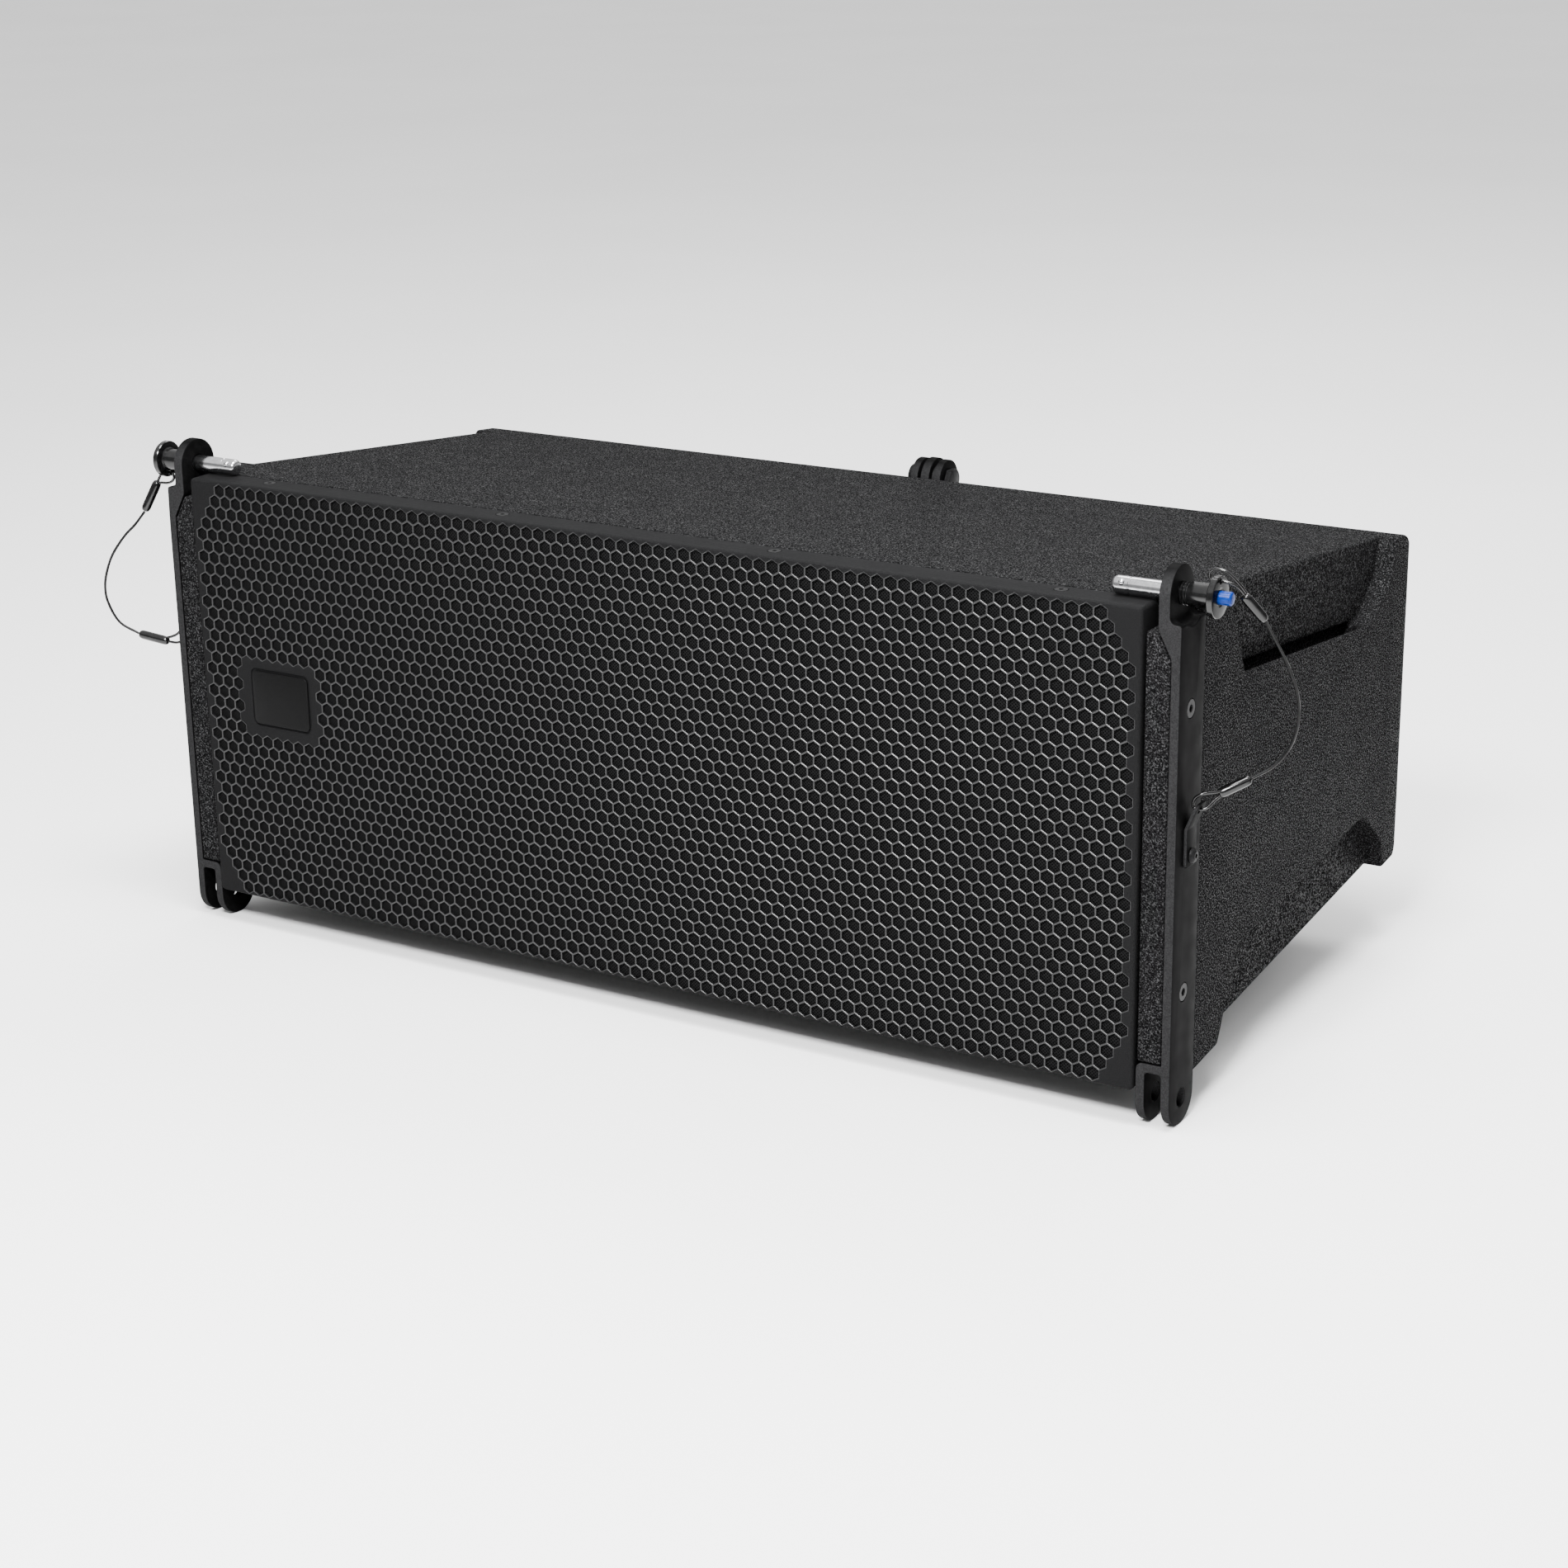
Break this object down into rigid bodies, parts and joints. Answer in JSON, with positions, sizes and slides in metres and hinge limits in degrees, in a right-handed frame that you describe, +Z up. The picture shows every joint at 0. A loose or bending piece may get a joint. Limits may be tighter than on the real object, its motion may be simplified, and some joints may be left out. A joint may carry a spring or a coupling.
{
  "type": "line array speaker",
  "caption": "Trapezoidal line array loudspeaker with a hexagon-perforated front grille, side rigging bars, lanyard-tethered release pins and a folding rear link.",
  "frame": {"origin": "midway between the two front suspension tabs, on the axis of their pin holes", "axes": "+X to the right when the grille is seen from the front, +Y from the grille to the rear panel, +Z up"},
  "size_m": [0.7648, 0.366, 0.3002],
  "materials": {
    "coating": "coarse textured black coating on plywood",
    "grille_coat": "satin black powder coat",
    "acoustic_cloth": "black open-weave backing cloth",
    "badge": "satin black, blank",
    "black_steel": "smooth matte black",
    "screw_steel": "black oxide",
    "bright_steel": "polished stainless",
    "pin_handle": "gloss black",
    "pin_button": "satin blue",
    "wire_coat": "black plastic-coated wire rope",
    "ferrule": "gloss black sleeve",
    "baffle_board": "painted plywood",
    "cast_metal": "cast, dark",
    "magnet": "ferrite and steel",
    "cone": "treated paper",
    "surround": "moulded",
    "spider": "resin-treated cloth",
    "moulding": "moulded black",
    "circuit": "printed board with parts"
  },
  "bodies": {
    "cabinet": {"cabinet_shell": "coating", "baffle_board": "baffle_board", "front_grille": "grille_coat", "grille_cloth": "acoustic_cloth", "badge_plate": "badge", "grille_screw_top_1": "screw_steel", "grille_screw_bottom_1": "screw_steel", "grille_screw_top_2": "screw_steel", "grille_screw_bottom_2": "screw_steel", "grille_screw_top_3": "screw_steel", "grille_screw_bottom_3": "screw_steel", "grille_screw_top_4": "screw_steel", "grille_screw_bottom_4": "screw_steel", "rigging_bar_left": "black_steel", "bar_screw_upper_left": "screw_steel", "bar_screw_lower_left": "screw_steel", "lanyard_tag_left": "black_steel", "tag_screw_left": "screw_steel", "rigging_bar_right": "black_steel", "bar_screw_upper_right": "screw_steel", "bar_screw_lower_right": "screw_steel", "lanyard_tag_right": "black_steel", "tag_screw_right": "screw_steel", "lanyard_end_lower_left": "ferrule", "lanyard_end_lower_right": "ferrule", "woofer_basket_left": "cast_metal", "woofer_magnet_left": "magnet", "woofer_surround_left": "surround", "woofer_spider_left": "spider", "woofer_basket_right": "cast_metal", "woofer_magnet_right": "magnet", "woofer_surround_right": "surround", "woofer_spider_right": "spider", "waveguide": "moulding", "compression_driver": "magnet", "crossover_board": "circuit", "input_plate": "grille_coat", "input_socket": "moulding", "link_socket": "moulding", "rear_bracket": "black_steel", "link_pivot_bolt": "screw_steel"},
    "pin_left": {"pin_shank_left": "bright_steel", "pin_handle_left": "pin_handle", "lanyard_end_upper_left": "ferrule", "lanyard_wire_left": "wire_coat"},
    "pin_right": {"pin_shank_right": "bright_steel", "pin_handle_right": "pin_handle", "lanyard_end_upper_right": "ferrule", "lanyard_wire_right": "wire_coat"},
    "pin_rear": {"pin_shank_rear": "bright_steel", "pin_handle_rear": "pin_handle"},
    "button_left": {"pin_button_left": "pin_button"},
    "button_right": {"pin_button_right": "pin_button"},
    "button_rear": {"pin_button_rear": "pin_button"},
    "link": {"rear_link": "black_steel"},
    "cone_left": {"woofer_cone_left": "cone"},
    "cone_right": {"woofer_cone_right": "cone"}
  },
  "joints": [
    {"name": "pin_left_pull", "type": "slide", "parent": "cabinet", "child": "pin_left", "axis": [-1, 0, 0], "range_m": [0, 0.045]},
    {"name": "button_left_press", "type": "slide", "parent": "pin_left", "child": "button_left", "axis": [1, 0, 0], "range_m": [0, 0.003], "stiffness_N_per_m": 400},
    {"name": "pin_right_pull", "type": "slide", "parent": "cabinet", "child": "pin_right", "axis": [1, 0, 0], "range_m": [0, 0.045]},
    {"name": "button_right_press", "type": "slide", "parent": "pin_right", "child": "button_right", "axis": [-1, 0, 0], "range_m": [0, 0.003], "stiffness_N_per_m": 400},
    {"name": "pin_rear_pull", "type": "slide", "parent": "cabinet", "child": "pin_rear", "axis": [1, 0, 0], "range_m": [0, 0.045]},
    {"name": "button_rear_press", "type": "slide", "parent": "pin_rear", "child": "button_rear", "axis": [-1, 0, 0], "range_m": [0, 0.003], "stiffness_N_per_m": 400},
    {"name": "link_swing", "type": "hinge", "parent": "cabinet", "child": "link", "pos_m": [0, 0.3355, -0.0432], "axis": [1, 0, 0], "range_deg": [0, 180]},
    {"name": "cone_left_travel", "type": "slide", "parent": "cabinet", "child": "cone_left", "axis": [0, 1, 0], "range_m": [-0.004, 0.004], "stiffness_N_per_m": 2000},
    {"name": "cone_right_travel", "type": "slide", "parent": "cabinet", "child": "cone_right", "axis": [0, 1, 0], "range_m": [-0.004, 0.004], "stiffness_N_per_m": 2000}
  ]
}
